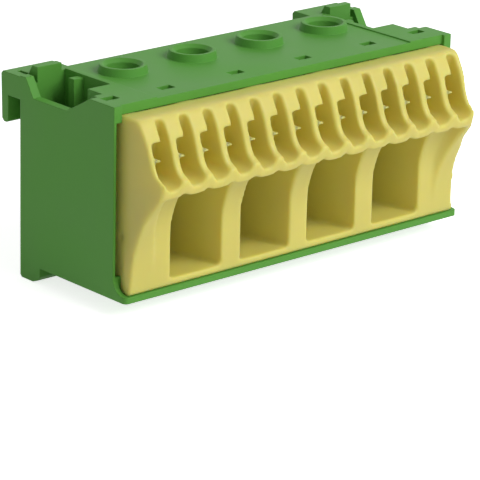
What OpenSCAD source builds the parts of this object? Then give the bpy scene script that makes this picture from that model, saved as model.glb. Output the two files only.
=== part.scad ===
// Earth terminal bar for an enclosure rail: four clamp ways below fourteen push-in ways.
// Millimetres. X runs along the bar, +Y points at the rail behind it, Z is up.
// Origin: middle of the length, on the back face, level with the underside of the floor.

/* [Overall] */
// Spacing of the four clamp ways; the push-in ways stand at a third of it
way_pitch = 15; // [14.7:0.1:15.6]
// Height from the underside of the floor to the top face
body_h = 32; // [31:0.5:35]
// Depth from the back face to the front edge of the end walls
body_d = 24.4; // [24:0.2:26]

/* [Housing] */
// Thickness of the end walls
wall = 1.6; // [1.4:0.1:1.8]
// Thickness of the back wall
back_t = 1.5; // [1.3:0.1:1.8]
// Thickness of the top
top_t = 1.45; // [1.3:0.05:1.7]
// Thickness of the floor
floor_t = 1.05; // [0.9:0.05:1.2]
// How far the floor stands out in front of the end walls
lip = 3.2; // [3:0.1:3.4]
// Radius of the web where an end wall runs out onto the floor lip
lip_r = 2.6; // [1.8:0.1:2.8]
// Height of the two end lands above the middle of the top
end_step = 0.2; // [0.1:0.05:0.4]

/* [Driver collars] */
// Distance of the clamp screws from the back face
screw_y = 8.1; // [7.8:0.1:8.4]
// Diameter of a collar at its rim
collar_d = 7.9; // [7.4:0.1:8.2]
// Height of a collar above the top
collar_h = 1.35; // [1:0.05:1.6]
// Diameter of the screwdriver bore
driver_d = 5.6; // [5.2:0.1:6]

/* [Rail hooks and feet] */
// Length of each hook and foot along the bar
hook_l = 10.3; // [9:0.1:11]
// How far a hook stands out behind the back face
hook_out = 5.1; // [4.8:0.1:5.6]
// Clear depth of the hook slot that takes the rail edge
hook_gap = 3.3; // [3:0.1:3.4]
// Height from the underside of the floor to the tip of the hook
hook_tip_z = 23.2; // [22:0.2:24]
// Height from the underside of the floor to the roof of the slot
hook_roof_z = 27.9; // [27:0.2:28.6]
// How far the feet reach below the floor
foot_drop = 2.75; // [2:0.05:3]

/* [End pockets] */
// Thickness of the wall between each pocket and the first cage
pocket_wall = 1.2; // [1:0.1:1.4]
// Distance of the front face of a pocket from the back face
pocket_y = 13.4; // [13.2:0.1:13.6]
// Depth of the dip in each end wall
dip = 3.15; // [2.6:0.05:3.6]

/* [Wire guide] */
// Width of a clamp-way mouth at the front
mouth_w = 10.9; // [10.4:0.1:11.2]
// Height of the sill of a clamp-way mouth
sill_z = 2.4; // [2.2:0.1:2.8]
// Width of a push-in gutter between its side ribs
gutter_w = 3.7; // [3.55:0.05:3.9]
// Diameter of the push-in port at the back of each gutter
port_d = 3.3; // [2.8:0.1:3.4]
// Depth of the spout floor at the front below the top face
spout_drop = 12.5; // [12:0.1:12.6]
// How far the spouts stand out in front of the end walls
spout_out = 9.3; // [9:0.1:9.8]
// Width of the tab that closes one side of each gutter near the top
tab_w = 1.95; // [1.7:0.05:2.1]
// Clearance between the wire guide and the housing
guide_gap = 0.05; // [0.03:0.01:0.1]

/* [Clamps] */
// Thread diameter of a clamp screw
screw_d = 6; // [5.4:0.1:6.2]
// Diameter of a screw head
head_d = 7; // [6.8:0.1:7.4]
// Width of a clamp cage along the bar
cage_w = 10.4; // [10:0.1:10.6]
// Length of a clamp cage along the wire
cage_l = 8.4; // [8:0.1:8.6]
// Thickness of the cage walls
cage_t = 1.2; // [1.1:0.05:1.3]
// Radial running clearance of a screw in its cage
thread_gap = 0.05; // [0.02:0.01:0.08]

/* [Busbar and springs] */
// Thickness of the busbar
bar_t = 2; // [1.8:0.1:2.2]
// Height of the underside of the busbar above the underside of the floor
bar_z = 11.5; // [11.3:0.1:12]
// Width of a push-in spring
spring_w = 3.6; // [3.2:0.1:3.8]
// Thickness of a push-in spring
spring_t = 0.4; // [0.3:0.05:0.5]

/* [Hidden] */
$fn = 64;

ways = 4;
gutters = 3 * ways + 2;
gutter_pitch = way_pitch / 3;
body_w = way_pitch * (ways + 1);
half_w = body_w / 2;
inner_x = half_w - wall;            // inner face of an end wall
top_z = body_h - top_t;             // underside of the top
chamber_y = pocket_y + 1.2;         // front face of the wall in front of a pocket
top_front = body_d - 0.55;          // front edge of the top
lip_front = body_d + lip;
land_z = body_h + end_step;
return_z = top_z - 1.1;             // the end walls are grooved in front below this height
skin = 0.5;                         // what the groove leaves of an end wall
latch_y = body_d - 4.6;             // row of latch windows in the top
latch_w = 1.6;
lip_corner = 0.8;                   // corner radius of the floor lip
web_t = 0.95;                       // thickness of the webs on the lip
block_x = inner_x - 5.8;            // inner side of the raised block on a hook
block_w = 5;

function way_x(i) = (i - (ways + 1) / 2) * way_pitch;
function gutter_x(i) = (i - (gutters + 1) / 2) * gutter_pitch;
chamber_x = way_x(ways) + cage_w / 2 + 0.5;  // inner face of the wall beside a pocket
pocket_l = inner_x - chamber_x - pocket_wall;
dip_front = chamber_y + 3.6;        // where the dip of an end wall reaches the front land
latch_xs = [for (i = [1:ways]) way_x(i), -(inner_x - 1.8), inner_x - 1.8];

// ---- wire guide heights and depths, all from the sizes above
g_top = top_z - guide_gap;
g_half = inner_x - guide_gap;
g_rear = body_d - 1;                // rear face of its upper block
cheek_y = body_d - 4;               // its cheeks reach back inside the end walls
spout_z = body_h - spout_drop;
spout_y = body_d + spout_out;       // front of the spouts
lift_y = spout_y - 1.8;             // where the ribs turn out into the spouts
rim_z = spout_z + 1.55;             // top of the spout sides
belly_z = spout_z - 1.45;           // lowest line of the spouts
pier_y = lip_front - 0.2;           // front of the piers between the mouths
tab_z = g_top - 3.5;                // lower edge of the tabs
crest_y = body_d + 3.8;             // rib crest just below the top
slot_top = g_top - 0.35;            // rounded top of the slot beside each tab
port_z = spout_z + 2.9;
swell = 0.6;                        // how far its sides swell out below, in front of the end walls
mouth_in = screw_y + cage_l / 2 + 2.7;  // inner end of the clamp-way funnels
mouth_in_w = cage_w - 2 * cage_t - 0.2;
mouth_in_top = bar_z - 0.3;
mouth_in_sill = 1.7;

// ---- clamps
cage_z = floor_t + 0.05;            // cages stand on the floor when open
cage_sill = cage_z + cage_t;
cage_roof = bar_z + bar_t + 0.5;
cage_top_t = 2.6;
head_h = 3;
head_top = top_z - 0.1;
shelf_z = port_z - 2.4;             // top of the push-in shelf of the busbar
shelf_front = g_rear - 0.5;
shelf_rear = chamber_y + 0.1;
riser_y = screw_y + cage_l / 2 + 0.6;  // rear face of the riser
slot_r = head_d / 2 - 1.2;          // half length of the driver slots in a screw head
bar_half = chamber_x - 0.3;
shelf_half = inner_x - 1.4;

// ---- helpers: outlines drawn in (Y, Z) and run along X, and outlines in (X, Z) run along Y
module along_x(x0, x1) translate([x0, 0, 0]) rotate([90, 0, 90]) linear_extrude(x1 - x0) children();
module along_y(y0, y1) translate([0, y1, 0]) rotate([90, 0, 0]) linear_extrude(y1 - y0) children();
module block(x0, x1, y0, y1, z0, z1) translate([x0, y0, z0]) cube([x1 - x0, y1 - y0, z1 - z0]);
module both_ends() { children(); mirror([1, 0, 0]) children(); }

// ================= housing: one green moulding =================
module hook_outline() polygon([[-0.5, hook_roof_z], [hook_gap, hook_roof_z], [hook_gap, hook_tip_z + 0.3],
  [hook_gap + 0.4, hook_tip_z], [hook_out - 0.7, hook_tip_z], [hook_out - 0.2, hook_tip_z + 0.5],
  [hook_out, body_h - 0.7], [hook_out - 0.4, body_h - 0.2], [-0.5, body_h - 0.2]]);

module foot_outline() polygon([[0, 0.5], [0, -foot_drop + 0.4], [-0.4, -foot_drop], [-3.4, -foot_drop],
  [-4.6, -foot_drop + 0.45], [-5.25, -foot_drop + 1.2], [-5.3, 0.5]]);

// dip in an end wall: steep beside the hook, flat, then a slow rise to the front land
module dip_outline() polygon([[-back_t, land_z + 1], [-back_t, body_h], [-3.5, body_h - dip],
  [-pocket_y + 1.2, body_h - dip], [-dip_front, land_z + 0.01], [-dip_front, land_z + 1]]);

module end_of_housing() {
  // hook with its raised block, foot, and web onto the lip
  along_x(half_w - hook_l, half_w) hook_outline();
  along_x(block_x, block_x + block_w) polygon([[-back_t, hook_roof_z], [-back_t, body_h + 1.3],
    [-0.1, body_h + 1.3], [0.9, body_h - 0.3], [0.9, hook_roof_z]]);
  along_x(half_w - hook_l, half_w) foot_outline();
  along_x(half_w - web_t, half_w) difference() {
    translate([-body_d - lip_r, floor_t - 0.1]) square([lip_r + 0.1, lip_r + 0.1]);
    translate([-body_d - lip_r, floor_t + lip_r]) circle(r = lip_r);
  }
}

module housing_solid() {
  block(-half_w, half_w, -top_front, 0, 0, body_h);
  block(-half_w, half_w, -lip_front + lip_corner, 0, 0, floor_t);
  block(-half_w + lip_corner, half_w - lip_corner, -lip_front, 0, 0, floor_t);
  both_ends() {
    translate([half_w - lip_corner, -lip_front + lip_corner, 0]) cylinder(r = lip_corner, h = floor_t);
    block(inner_x, half_w, -body_d, -top_front + 0.1, 0, land_z);
    block(chamber_x, half_w, -top_front, -back_t, top_z, land_z);
  }
}

module housing_hollow() {
  block(-inner_x, inner_x, -body_d - 1, -chamber_y, floor_t, top_z);
  block(-chamber_x, chamber_x, -chamber_y - 1, -back_t, floor_t, top_z);
  both_ends() {
    block(inner_x - pocket_l, inner_x, -pocket_y, -back_t, floor_t + 1.2, land_z + 1);
    block(inner_x - 0.1, half_w - skin, -body_d - 1, -body_d + 3.4, floor_t + lip_r, return_z);
    block(inner_x - 0.1, half_w - skin, -body_d + 0.6, -body_d + 3.4, floor_t, return_z);
  }
}

module housing_inside() {
  // walls between the cages, below and above the busbar
  for (i = [1:ways - 1]) {
    x = (way_x(i) + way_x(i + 1)) / 2;
    block(x - 0.8, x + 0.8, -chamber_y, -back_t + 0.1, floor_t - 0.1, bar_z);
    block(x - 0.8, x + 0.8, -riser_y + 0.1, -back_t + 0.1, bar_z + bar_t + 0.1, top_z + 0.1);
  }
  both_ends() {
    // posts under the ends of the busbar and ledges under the ends of its shelf
    block(chamber_x - 1, chamber_x + 0.1, -riser_y - bar_t + 0.4, -riser_y + 0.2, floor_t - 0.1, bar_z);
    block(chamber_x - 1, chamber_x + 0.1, -back_t - 1.8, -back_t + 0.1, floor_t - 0.1, bar_z);
    block(inner_x - 2.2, inner_x + 0.1, -cheek_y + 0.2, -chamber_y + 0.1,
      shelf_z - bar_t - 1.5, shelf_z - bar_t + 0.5);
    // rib on the inner face of the pocket
    block(inner_x - pocket_l - 0.1, inner_x - pocket_l + 2, -pocket_y / 2 + 0.3, -pocket_y / 2 + 1.7,
      floor_t + 1, body_h - 0.3);
  }
}

module latch_window() {
  block(-latch_w / 2, latch_w / 2, -latch_y - 0.85, -latch_y + 0.85, top_z - 1, body_h + 1);
  along_y(-latch_y - 0.8, -latch_y + 0.8) polygon([[-latch_w / 2 - 1.5, body_h + 0.3],
    [-latch_w / 2 - 1.2, body_h], [-latch_w / 2 + 0.1, body_h - 0.6], [-latch_w / 2 + 0.1, body_h + 0.3]]);
}

module housing() color([0.33, 0.55, 0.26]) difference() {
  union() {
    difference() {
      union() {
        housing_solid();
        both_ends() end_of_housing();
      }
      housing_hollow();
    }
    housing_inside();
    for (i = [1:ways]) translate([way_x(i), -screw_y, top_z + 0.1])
      cylinder(d1 = collar_d + 1.1, d2 = collar_d, h = collar_h + top_t - 0.1);
  }
  for (i = [1:ways]) translate([way_x(i), -screw_y, 0]) {
    translate([0, 0, top_z - 1]) cylinder(d = driver_d, h = collar_h + top_t + 2);
    translate([0, 0, body_h + collar_h - 0.6]) cylinder(d1 = driver_d - 0.01, d2 = driver_d + 1.22, h = 0.61);
  }
  for (x = latch_xs) translate([x, 0, abs(x) > chamber_x ? end_step : 0]) latch_window();
  both_ends() {
    along_x(inner_x - 0.01, half_w + 1) dip_outline();
    // slit between the front land and the end wall
    along_x(inner_x - 1.8, inner_x + 0.01) polygon([
      [-pocket_y + 0.1, land_z + 1], [-pocket_y + 0.1, body_h - 2.6],
      [-dip_front + 1, land_z + 0.01], [-dip_front + 1, land_z + 1]]);
    // slit between the raised block and the end wall
    block(block_x + block_w, inner_x, -back_t - 0.1, 3, body_h - 1.3, land_z + 2);
  }
}

// ================= wire guide: one pale yellow moulding =================
// points of a smooth bend from a to c, drawn towards b
function bend(a, b, c) =
  [for (k = [0:4]) let (t = k / 4) (1 - t) * (1 - t) * a + 2 * t * (1 - t) * b + t * t * c];
// front of a pier: upright at z0, then leaning out more and more until it reaches the spouts
function flare(z0, reach, power) =
  [for (k = [0:7]) let (t = k / 7) [-pier_y - reach * pow(t, power), z0 + (belly_z - z0) * t]];

// side view of the gutter ribs, the spouts and the rear face of the upper block
module rib_outline() polygon(concat([[-g_rear, g_top]],
  bend([-crest_y + 1, g_top], [-crest_y - 0.05, g_top - 0.05], [-crest_y - 0.75, g_top - 1.6]),
  [[-crest_y - 1.6, tab_z + 0.5], [-(crest_y + lift_y) / 2 - 0.35, (tab_z + rim_z) / 2 + 1.9]],
  bend([-lift_y + 0.85, rim_z + 2.8], [-lift_y, rim_z + 0.3], [-spout_y + 0.35, rim_z + 0.1]),
  [[-spout_y + 0.1, rim_z - 0.1], [-spout_y, rim_z - 0.45], [-spout_y + 0.6, belly_z + 0.15],
    [-spout_y + 0.85, belly_z], [-pier_y, belly_z], [-g_rear - 1.5, belly_z - 2], [-g_rear, belly_z - 2]]));

// side views of the piers, and of the outer ridge of each end pier, which stands further forward
module pier_outline() polygon(concat(
  [[-body_d - 0.05, floor_t], [-pier_y + 0.25, floor_t], [-pier_y, floor_t + 0.4]], flare(bar_z - 2, 2.8, 2),
  [[-pier_y - 2.8, belly_z + 0.8], [-g_rear - 0.5, belly_z + 0.8], [-g_rear - 0.5, floor_t]]));
module ridge_outline() polygon(concat([[-body_d - 0.05, floor_t], [-pier_y + 0.2, floor_t]],
  flare(floor_t + 1, spout_out - lip - 0.6, 2.5),
  [[-spout_y + 0.7, belly_z + 1], [-body_d - 0.05, belly_z + 1]]));

// plans of the guide: its sides sweep forward from inside the end walls, and swell a little below
module guide_plan() both_ends() polygon([[-0.1, -g_rear + 5], [g_half, -g_rear + 5], [g_half, -body_d - 0.6],
  [g_half - 0.1, -body_d - 2], [g_half - 0.4, -body_d - 4.6], [g_half - 0.75, -lift_y],
  [g_half - 0.95, -spout_y + 0.8], [g_half - 1.25, -spout_y], [-0.1, -spout_y]]);
module swell_plan() both_ends() polygon([[g_half - 2, -body_d - 0.05], [g_half, -body_d - 0.05],
  [g_half + swell / 2, -body_d - 0.8], [g_half + 0.9 * swell, -body_d - 1.8], [g_half + swell, -pier_y + 0.4],
  [g_half + swell - 0.15, -pier_y - 0.8], [g_half + 0.05, -pier_y - 2.1], [g_half - 0.6, -lift_y + 1.3],
  [g_half - 2, -lift_y + 1.3]]);
module ridge_plan() both_ends() polygon([[g_half - 4.4, -body_d], [half_w, -body_d], [half_w, -spout_y],
  [g_half - 1.6, -spout_y], [g_half - 3, -pier_y - 2.2], [g_half - 4.4, -pier_y + 0.1]]);

module piers() {
  along_x(-half_w, half_w) pier_outline();
  intersection() {
    along_x(-half_w, half_w) ridge_outline();
    linear_extrude(body_h) ridge_plan();
  }
}

module funnel(grow, y_in) intersection() {
  translate([0, 0, -1]) linear_extrude(body_h) polygon([
    [-mouth_w / 2 - grow, -spout_y - 3], [mouth_w / 2 + grow, -spout_y - 3],
    [mouth_w / 2 + grow, -pier_y + 0.8], [mouth_in_w / 2 + grow, -y_in],
    [-mouth_in_w / 2 - grow, -y_in], [-mouth_w / 2 - grow, -pier_y + 0.8]]);
  along_x(-way_pitch, way_pitch) polygon([[-spout_y - 3, sill_z - grow], [-pier_y, sill_z - grow],
    [-y_in, mouth_in_sill - grow], [-y_in, mouth_in_top + grow], [-pier_y - 2.8, belly_z + grow],
    [-spout_y - 3, belly_z + grow]]);
}

// round underside of one spout
module spout_underside() difference() {
  block(-gutter_pitch / 2, gutter_pitch / 2, -spout_y - 1, -pier_y - 2.8, belly_z - 0.3, belly_z + 0.9);
  translate([0, -spout_y - 2, belly_z + 4.6]) rotate([-90, 0, 0]) cylinder(r = 4.6, h = 12);
}

module gutter_cut() {
  w = gutter_w / 2;
  slot = w - tab_w / 2;             // half the width left beside the tab
  back_y = body_d + 0.8;            // back of the gutter at the port
  // rounded spout floor, falling slightly to the front
  translate([0, -spout_y - 0.3, spout_z + w]) rotate([-90 + 5.2, 0, 0])
    cylinder(r = w, h = spout_y - back_y + 0.3);
  // open gutter above it, getting shallower towards the top
  along_x(-w, w) polygon([[-spout_y - 2, spout_z + w], [-spout_y - 2, tab_z], [-crest_y + 1.55, tab_z],
    [-back_y, port_z], [-back_y, spout_z + w + 0.6]]);
  // narrow slot beside the tab, round at its top
  intersection() {
    along_x(-w + tab_w, w) polygon([[-spout_y - 2, tab_z - 0.1], [-spout_y - 2, g_top],
      [-crest_y + 0.3, g_top], [-crest_y + 1.6, tab_z - 0.1]]);
    union() {
      block(-w + tab_w, w, -spout_y - 2, -body_d, tab_z - 0.2, slot_top - slot);
      translate([tab_w / 2, -spout_y - 2, slot_top - slot]) rotate([-90, 0, 0])
        cylinder(r = slot, h = spout_out + 2);
    }
  }
  // port through to the spring, clear of the sloping back of the gutter
  translate([0, -back_y - 1.6, port_z]) rotate([-90, 0, 0]) cylinder(d = port_d, h = back_y - g_rear + 2.6);
}

module wire_guide() color([0.85, 0.80, 0.48]) {
  difference() {
    union() {
      difference() {
        intersection() {
          along_x(-half_w, half_w) rib_outline();
          linear_extrude(body_h) guide_plan();
        }
        for (i = [1:gutters]) translate([gutter_x(i), 0, 0]) spout_underside();
      }
      intersection() {
        piers();
        linear_extrude(body_h) guide_plan();
      }
      difference() {
        intersection() {
          piers();
          linear_extrude(body_h) swell_plan();
        }
        // the swelling dies away upwards
        both_ends() translate([g_half + swell, 0, floor_t]) rotate([0, -3.6, 0])
          block(0, 3, -spout_y, -body_d + 1, -1, belly_z + 2);
      }
      for (i = [1:ways]) translate([way_x(i), 0, 0]) intersection() {
        funnel(1.1, mouth_in);
        block(-way_pitch / 2, way_pitch / 2, -body_d - 1, 0, floor_t, g_top);
      }
      both_ends() block(g_half - 1.1, g_half, -body_d, -cheek_y, floor_t, g_top);
      // latch tongues
      for (x = latch_xs) {
        block(x - 1.3, x + 1.3, -g_rear - 0.1, -latch_y + 1, g_top - 1.2, g_top);
        block(x - 0.65, x + 0.65, -latch_y - 0.65, -latch_y + 0.65, g_top - 0.1, g_top + 0.3);
      }
    }
    for (i = [1:ways]) translate([way_x(i), 0, 0]) funnel(0, mouth_in - 0.1);
    for (i = [1:gutters]) translate([gutter_x(i), 0, 0]) gutter_cut();
    // small relief in each side
    both_ends() block(-half_w, -g_half + 0.45, -body_d - 0.4, -body_d + 0.7, bar_z - 1.7, bar_z - 0.2);
  }
  // small fin on the left rib of each gutter
  for (i = [1:gutters]) translate([gutter_x(i), 0, 0])
    block(-gutter_w / 2 - 0.1, -gutter_w / 2 + 1, -lift_y + 1.1, -body_d - 1.5, rim_z + 2.95, rim_z + 3.25);
}

// ================= busbar: one stepped brass plate =================
module busbar() color([0.80, 0.62, 0.30]) difference() {
  union() {
    block(-bar_half, bar_half, -riser_y - bar_t + 0.5, -back_t - 0.7, bar_z, bar_z + bar_t);
    block(-bar_half, bar_half, -riser_y - bar_t + 0.5, -riser_y, bar_z, shelf_z);
    block(-bar_half, bar_half, -shelf_front, -riser_y, shelf_z - bar_t + 0.5, shelf_z);
    block(-shelf_half, shelf_half, -shelf_front, -shelf_rear, shelf_z - bar_t + 0.5, shelf_z);
  }
  // slots that guide the sides of the cages
  for (i = [1:ways], s = [-1, 1]) translate([way_x(i) + s * (cage_w - cage_t) / 2, -screw_y, 0])
    block(-cage_t / 2 - 0.1, cage_t / 2 + 0.1, -cage_l / 2 - 0.1, cage_l / 2 + 0.1,
      bar_z - 1, bar_z + bar_t + 1);
}

// ================= clamp screws and cages =================
module clamp_screw(i) color([0.72, 0.73, 0.75]) translate([way_x(i), -screw_y, 0]) difference() {
  union() {
    translate([0, 0, head_top - head_h]) cylinder(d = head_d, h = head_h);
    translate([0, 0, bar_z + bar_t + 0.05]) cylinder(d = screw_d, h = head_top - head_h - bar_z - bar_t);
  }
  for (a = [0, 90]) rotate(a) block(-slot_r, slot_r, -0.5, 0.5, head_top - 1.8, head_top + 1);
}

module clamp_cage(i) color([0.62, 0.63, 0.65]) translate([way_x(i), -screw_y, 0]) difference() {
  block(-cage_w / 2, cage_w / 2, -cage_l / 2, cage_l / 2, cage_z, cage_roof + cage_top_t);
  block(-cage_w / 2 + cage_t, cage_w / 2 - cage_t, -cage_l, cage_l, cage_sill, cage_roof);
  translate([0, 0, cage_roof - 1]) cylinder(d = screw_d + 2 * thread_gap, h = cage_top_t + 2);
}

// ================= push-in springs: bent leaf with a loop and a slanting clamping leg =================
loop_r = 3.2;                       // outer radius of the loop
loop_end = 225;                     // the loop turns this far before the clamping leg
leg = 3.5;                          // length of the clamping leg
loop_rise = 5;                      // height of the middle of the loop above the shelf
function arc(r, a0, a1) = [for (k = [0:18]) let (a = a0 + (a1 - a0) * k / 18) [r * cos(a), r * sin(a)]];
function leg_tip(r) = [r * cos(loop_end) - leg * sin(loop_end), r * sin(loop_end) + leg * cos(loop_end)];

module push_spring(i) color([0.78, 0.79, 0.80])
  translate([gutter_x(i), -shelf_rear - 0.3 - loop_r, shelf_z + loop_rise])
    along_x(-spring_w / 2, spring_w / 2) polygon(concat([[loop_r, -loop_rise]],
      arc(loop_r, 0, loop_end), [leg_tip(loop_r), leg_tip(loop_r - spring_t)],
      arc(loop_r - spring_t, loop_end, 0), [[loop_r - spring_t, -loop_rise]]));

housing();
wire_guide();
busbar();
clamp_screw(1);  // clamp_screw_1
clamp_screw(2);  // clamp_screw_2
clamp_screw(3);  // clamp_screw_3
clamp_screw(4);  // clamp_screw_4
clamp_cage(1);  // clamp_cage_1
clamp_cage(2);  // clamp_cage_2
clamp_cage(3);  // clamp_cage_3
clamp_cage(4);  // clamp_cage_4
push_spring(1);  // push_spring_01
push_spring(2);  // push_spring_02
push_spring(3);  // push_spring_03
push_spring(4);  // push_spring_04
push_spring(5);  // push_spring_05
push_spring(6);  // push_spring_06
push_spring(7);  // push_spring_07
push_spring(8);  // push_spring_08
push_spring(9);  // push_spring_09
push_spring(10);  // push_spring_10
push_spring(11);  // push_spring_11
push_spring(12);  // push_spring_12
push_spring(13);  // push_spring_13
push_spring(14);  // push_spring_14
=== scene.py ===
import math

import bmesh
import bpy
from mathutils import Matrix, Vector


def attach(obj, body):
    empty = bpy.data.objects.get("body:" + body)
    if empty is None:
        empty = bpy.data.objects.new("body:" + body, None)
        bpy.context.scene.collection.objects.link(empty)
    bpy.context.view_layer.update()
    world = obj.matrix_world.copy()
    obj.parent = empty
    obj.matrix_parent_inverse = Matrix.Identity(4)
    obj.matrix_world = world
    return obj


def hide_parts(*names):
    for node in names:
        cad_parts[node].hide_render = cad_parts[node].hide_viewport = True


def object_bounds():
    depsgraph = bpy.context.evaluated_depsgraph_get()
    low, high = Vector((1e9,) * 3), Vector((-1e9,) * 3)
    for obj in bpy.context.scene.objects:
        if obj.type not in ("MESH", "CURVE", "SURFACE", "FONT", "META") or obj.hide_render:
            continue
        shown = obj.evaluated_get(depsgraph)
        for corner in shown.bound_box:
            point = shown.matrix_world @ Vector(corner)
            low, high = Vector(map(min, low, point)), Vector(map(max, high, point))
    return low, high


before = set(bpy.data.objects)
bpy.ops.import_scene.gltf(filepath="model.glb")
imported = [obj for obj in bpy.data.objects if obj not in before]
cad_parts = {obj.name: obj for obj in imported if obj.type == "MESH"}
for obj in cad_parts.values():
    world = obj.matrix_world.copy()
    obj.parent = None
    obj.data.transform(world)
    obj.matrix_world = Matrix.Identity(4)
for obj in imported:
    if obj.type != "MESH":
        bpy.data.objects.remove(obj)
cad_box = [list(map(float, corner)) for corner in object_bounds()]

# ---------------------------------------------------------------------------
# The table, the light and the view.
# The bar stands on a pale table under soft lamps: a broad key from the right
# and above, a weaker fill from the left, and an even white surround.
# ---------------------------------------------------------------------------
MM = 0.001
scene = bpy.context.scene
scene.view_settings.view_transform = "Standard"

view_azimuth = -41.6
view_elevation = 17.16
view_roll = 1.21
view_distance = 518.7 * MM
view_target = Vector((-2.43, -15.0, 15.79)) * MM

camera_data = bpy.data.cameras.new("camera")
camera_data.sensor_width = 36.0
camera_data.lens = 230.55
camera_data.shift_y = -0.181
camera_data.clip_start = 0.01
camera_data.clip_end = 20.0
camera = bpy.data.objects.new("camera", camera_data)
scene.collection.objects.link(camera)
turn = (
    Matrix.Rotation(math.radians(view_azimuth), 3, "Z")
    @ Matrix.Rotation(math.radians(90.0 - view_elevation), 3, "X")
    @ Matrix.Rotation(math.radians(view_roll), 3, "Z")
)
view_point = view_target + turn @ Vector((0, 0, view_distance))
camera.matrix_world = Matrix.Translation(view_point) @ turn.to_4x4()
scene.camera = camera


def show_white_to_the_eye(tree, lit_shader, out_socket):
    """Mixes in plain white for what the camera, gloss and clear parts see directly."""
    nodes, links = tree.nodes, tree.links
    path = nodes.new("ShaderNodeLightPath")
    seen = nodes.new("ShaderNodeMath")
    seen.operation = "MAXIMUM"
    links.new(path.outputs["Is Camera Ray"], seen.inputs[0])
    links.new(path.outputs["Is Glossy Ray"], seen.inputs[1])
    either = nodes.new("ShaderNodeMath")
    either.operation = "MAXIMUM"
    links.new(seen.outputs[0], either.inputs[0])
    links.new(path.outputs["Is Transmission Ray"], either.inputs[1])
    white = nodes.new("ShaderNodeBackground")
    white.inputs["Color"].default_value = (1, 1, 1, 1)
    white.inputs["Strength"].default_value = 1.0
    mix = nodes.new("ShaderNodeMixShader")
    links.new(either.outputs[0], mix.inputs[0])
    links.new(lit_shader.outputs[0], mix.inputs[1])
    links.new(white.outputs[0], mix.inputs[2])
    links.new(mix.outputs[0], out_socket)


surround_strength = 0.27
world = bpy.data.worlds.new("surround")
world.use_nodes = True
scene.world = world
surround = world.node_tree.nodes["Background"]
surround.inputs["Color"].default_value = (1.0, 1.0, 1.0, 1)
surround.inputs["Strength"].default_value = surround_strength
show_white_to_the_eye(world.node_tree, surround, world.node_tree.nodes["World Output"].inputs["Surface"])

table_gap = 0.0001
table_reach = 3.0
table_z = cad_box[0][2] - table_gap
table_mesh = bpy.data.meshes.new("table")
table_mesh.from_pydata(
    [
        (-table_reach, -table_reach, table_z),
        (table_reach, -table_reach, table_z),
        (table_reach, table_reach, table_z),
        (-table_reach, table_reach, table_z),
    ],
    [],
    [(0, 1, 2, 3)],
)
table = bpy.data.objects.new("table", table_mesh)
scene.collection.objects.link(table)

# the lamps light the table, and a glow lifts it towards white where it is seen directly
table_paleness = 0.92
table_glow = 0.76
table_white = bpy.data.materials.new("table_white")
table_white.use_nodes = True
table_nodes, table_links = table_white.node_tree.nodes, table_white.node_tree.links
table_shader = table_nodes["Principled BSDF"]
table_shader.inputs["Base Color"].default_value = (table_paleness, table_paleness, table_paleness, 1)
table_shader.inputs["Roughness"].default_value = 0.9
table_shader.inputs["Emission Color"].default_value = (1, 1, 1, 1)
seen_path = table_nodes.new("ShaderNodeLightPath")
seen_directly = table_nodes.new("ShaderNodeMath")
seen_directly.operation = "MAXIMUM"
table_links.new(seen_path.outputs["Is Camera Ray"], seen_directly.inputs[0])
table_links.new(seen_path.outputs["Is Glossy Ray"], seen_directly.inputs[1])
table_lift = table_nodes.new("ShaderNodeMath")
table_lift.operation = "MULTIPLY"
table_lift.inputs[1].default_value = table_glow
table_links.new(seen_directly.outputs[0], table_lift.inputs[0])
table_links.new(table_lift.outputs[0], table_shader.inputs["Emission Strength"])
table_mesh.materials.append(table_white)


def soft_lamp(name, azimuth, elevation, distance, size, power):
    """A square lamp on a sphere round the view's target, facing that target."""
    a, e = math.radians(azimuth), math.radians(elevation)
    out = Vector((math.sin(a) * math.cos(e), -math.cos(a) * math.cos(e), math.sin(e)))
    data = bpy.data.lights.new(name, "AREA")
    data.size = size
    data.energy = power
    lamp = bpy.data.objects.new(name, data)
    lamp.location = view_target + out * distance
    lamp.rotation_euler = out.to_track_quat("Z", "Y").to_euler()
    scene.collection.objects.link(lamp)


soft_lamp("key_lamp", azimuth=18, elevation=40, distance=0.7, size=0.40, power=3.0)
soft_lamp("fill_lamp", azimuth=-30, elevation=20, distance=0.8, size=0.5, power=0.12)

# ---------------------------------------------------------------------------
# Housing: one green moulding in stiff plastic, with a fine spark-eroded skin.
# It carries everything else; the guide snaps into its open front.
# ---------------------------------------------------------------------------
edge_radius = 0.22 * MM
skin_depth = 0.02 * MM


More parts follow.
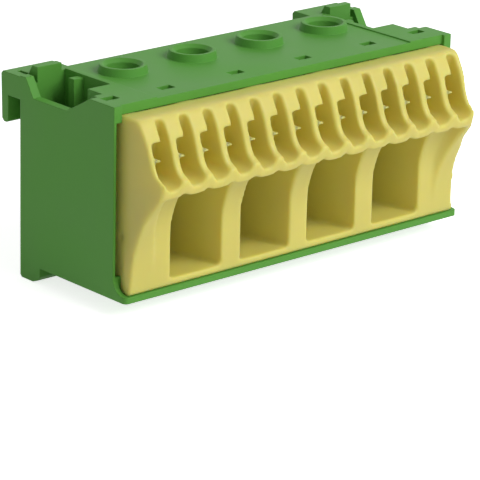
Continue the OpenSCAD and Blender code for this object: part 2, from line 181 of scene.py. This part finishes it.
def moulded_plastic(name, colour, mottle, roughness, grain, shine, glow, glow_depth):
    """Moulded plastic: slight colour drift, a fine skin and softly rounded edges."""
    mat = bpy.data.materials.new(name)
    mat.use_nodes = True
    nodes, links = mat.node_tree.nodes, mat.node_tree.links
    shader = nodes["Principled BSDF"]
    place = nodes.new("ShaderNodeTexCoord")

    drift = nodes.new("ShaderNodeTexNoise")
    drift.inputs["Scale"].default_value = 60.0
    drift.inputs["Detail"].default_value = 3.0
    links.new(place.outputs["Object"], drift.inputs["Vector"])
    tint = nodes.new("ShaderNodeValToRGB")
    tint.color_ramp.elements[0].position = 0.3
    tint.color_ramp.elements[1].position = 0.7
    tint.color_ramp.elements[0].color = [c * (1 - mottle) for c in colour] + [1]
    tint.color_ramp.elements[1].color = [min(1.0, c * (1 + mottle)) for c in colour] + [1]
    links.new(drift.outputs["Fac"], tint.inputs["Fac"])
    links.new(tint.outputs["Color"], shader.inputs["Base Color"])

    skin = nodes.new("ShaderNodeTexNoise")
    skin.inputs["Scale"].default_value = 2600.0
    skin.inputs["Detail"].default_value = 4.0
    links.new(place.outputs["Object"], skin.inputs["Vector"])
    dull = nodes.new("ShaderNodeMapRange")
    dull.inputs["From Min"].default_value = 0.3
    dull.inputs["From Max"].default_value = 0.7
    dull.inputs["To Min"].default_value = roughness - 0.05
    dull.inputs["To Max"].default_value = roughness + 0.07
    links.new(drift.outputs["Fac"], dull.inputs["Value"])
    links.new(dull.outputs["Result"], shader.inputs["Roughness"])

    soft_edge = nodes.new("ShaderNodeBevel")
    soft_edge.samples = 6
    soft_edge.inputs["Radius"].default_value = edge_radius
    relief = nodes.new("ShaderNodeBump")
    relief.inputs["Strength"].default_value = grain
    relief.inputs["Distance"].default_value = skin_depth
    links.new(skin.outputs["Fac"], relief.inputs["Height"])
    links.new(soft_edge.outputs["Normal"], relief.inputs["Normal"])
    links.new(relief.outputs["Normal"], shader.inputs["Normal"])

    shader.inputs["IOR"].default_value = 1.5
    shader.inputs["Specular IOR Level"].default_value = shine
    shader.inputs["Subsurface Weight"].default_value = glow
    shader.inputs["Subsurface Radius"].default_value = (1.0, 0.75, 0.3)
    shader.inputs["Subsurface Scale"].default_value = glow_depth
    return mat


def dress(node, mat):
    """Puts a material on every slot of a CAD node."""
    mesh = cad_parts[node].data
    if not mesh.materials:
        mesh.materials.append(mat)
    for i in range(len(mesh.materials)):
        mesh.materials[i] = mat


earth_green = moulded_plastic(
    "earth_green", (0.108, 0.355, 0.052),
    mottle=0.05, roughness=0.5, grain=0.25, shine=0.22, glow=0.04, glow_depth=0.5 * MM,
)
dress("housing", earth_green)

# ---------------------------------------------------------------------------
# Wire guide: one pale yellow moulding, glossier and a little translucent.
# It snaps into the front of the housing and leads the wires to both rows.
# ---------------------------------------------------------------------------
guide_yellow = moulded_plastic(
    "guide_yellow", (0.76, 0.68, 0.175),
    mottle=0.04, roughness=0.4, grain=0.12, shine=0.35, glow=0.7, glow_depth=2.2 * MM,
)
guide_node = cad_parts["wire_guide"]
dress("wire_guide", guide_yellow)

# the moulding's edges are all softly rounded, so its form is taken over and smoothed
soft_guide = bpy.data.objects.new("soft_wire_guide", guide_node.data.copy())
soft_guide.matrix_world = guide_node.matrix_world
scene.collection.objects.link(soft_guide)
rounding = soft_guide.modifiers.new("rounding", "REMESH")
rounding.mode = "VOXEL"
rounding.voxel_size = 0.36 * MM
smoothing = soft_guide.modifiers.new("smoothing", "SMOOTH")
smoothing.factor = 0.5
smoothing.iterations = 3
bpy.context.view_layer.update()
settled = soft_guide.evaluated_get(bpy.context.evaluated_depsgraph_get())
smooth_mesh = bpy.data.meshes.new_from_object(settled)
soft_guide.modifiers.clear()
soft_guide.data = smooth_mesh

# one small fin stands out from the left rib of each gutter, thickest at the rib; sizes in mm
gutters = 14
gutter_pitch = 5.0
fin_from_middle = 1.35
fin_reach = 1.1
fin_length = 4.9
fin_y = -28.4
fin_z = 24.15
fin_at_rib = 0.34
fin_at_tip = 0.22
form = bmesh.new()
form.from_mesh(smooth_mesh)
for i in range(1, gutters + 1):
    gutter_x = (i - (gutters + 1) / 2) * gutter_pitch
    for corner in bmesh.ops.create_cube(form, size=1.0)["verts"]:
        near_rib = corner.co.x < 0
        corner.co = Vector((
            gutter_x - fin_from_middle + corner.co.x * fin_reach,
            fin_y + corner.co.y * fin_length,
            fin_z + corner.co.z * (fin_at_rib if near_rib else fin_at_tip),
        )) * MM
form.to_mesh(smooth_mesh)
form.free()
for face in smooth_mesh.polygons:
    face.use_smooth = True
    face.material_index = 0
smooth_mesh.materials.clear()
smooth_mesh.materials.append(guide_yellow)
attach(soft_guide, "terminal_bar")
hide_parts("wire_guide")


# ---------------------------------------------------------------------------
# Busbar, cages, screws and springs: brass strip, zinc-plated steel and bright
# strip. They lie in the housing behind the guide and under the collars, and
# show only through the mouths, the ports and the collars.
# ---------------------------------------------------------------------------
def rolled_metal(name, colour, roughness):
    """Metal strip with fine rolling lines along the bar."""
    mat = bpy.data.materials.new(name)
    mat.use_nodes = True
    nodes, links = mat.node_tree.nodes, mat.node_tree.links
    shader = nodes["Principled BSDF"]
    shader.inputs["Metallic"].default_value = 1.0
    shader.inputs["Base Color"].default_value = (*colour, 1)
    place = nodes.new("ShaderNodeTexCoord")
    stretch = nodes.new("ShaderNodeMapping")
    along, across = 120.0, 3500.0
    stretch.inputs["Scale"].default_value = (along, across, across)
    links.new(place.outputs["Object"], stretch.inputs["Vector"])
    lines = nodes.new("ShaderNodeTexNoise")
    lines.inputs["Scale"].default_value = 1.0
    lines.inputs["Detail"].default_value = 3.0
    links.new(stretch.outputs["Vector"], lines.inputs["Vector"])
    dull = nodes.new("ShaderNodeMapRange")
    dull.inputs["To Min"].default_value = roughness - 0.08
    dull.inputs["To Max"].default_value = roughness + 0.12
    links.new(lines.outputs["Fac"], dull.inputs["Value"])
    links.new(dull.outputs["Result"], shader.inputs["Roughness"])
    relief = nodes.new("ShaderNodeBump")
    relief.inputs["Strength"].default_value = 0.15
    relief.inputs["Distance"].default_value = 0.01 * MM
    links.new(lines.outputs["Fac"], relief.inputs["Height"])
    links.new(relief.outputs["Normal"], shader.inputs["Normal"])
    return mat


ways = 4
bar_brass = rolled_metal("bar_brass", (0.78, 0.57, 0.24), roughness=0.34)
cage_zinc = rolled_metal("cage_zinc", (0.60, 0.61, 0.63), roughness=0.40)
spring_bright = rolled_metal("spring_bright", (0.72, 0.73, 0.74), roughness=0.25)
screw_zinc = rolled_metal("screw_zinc", (0.66, 0.67, 0.69), roughness=0.33)
dress("busbar", bar_brass)
for i in range(1, ways + 1):
    dress(f"clamp_cage_{i}", cage_zinc)
    dress(f"clamp_screw_{i}", screw_zinc)
for i in range(1, gutters + 1):
    dress(f"push_spring_{i:02d}", spring_bright)
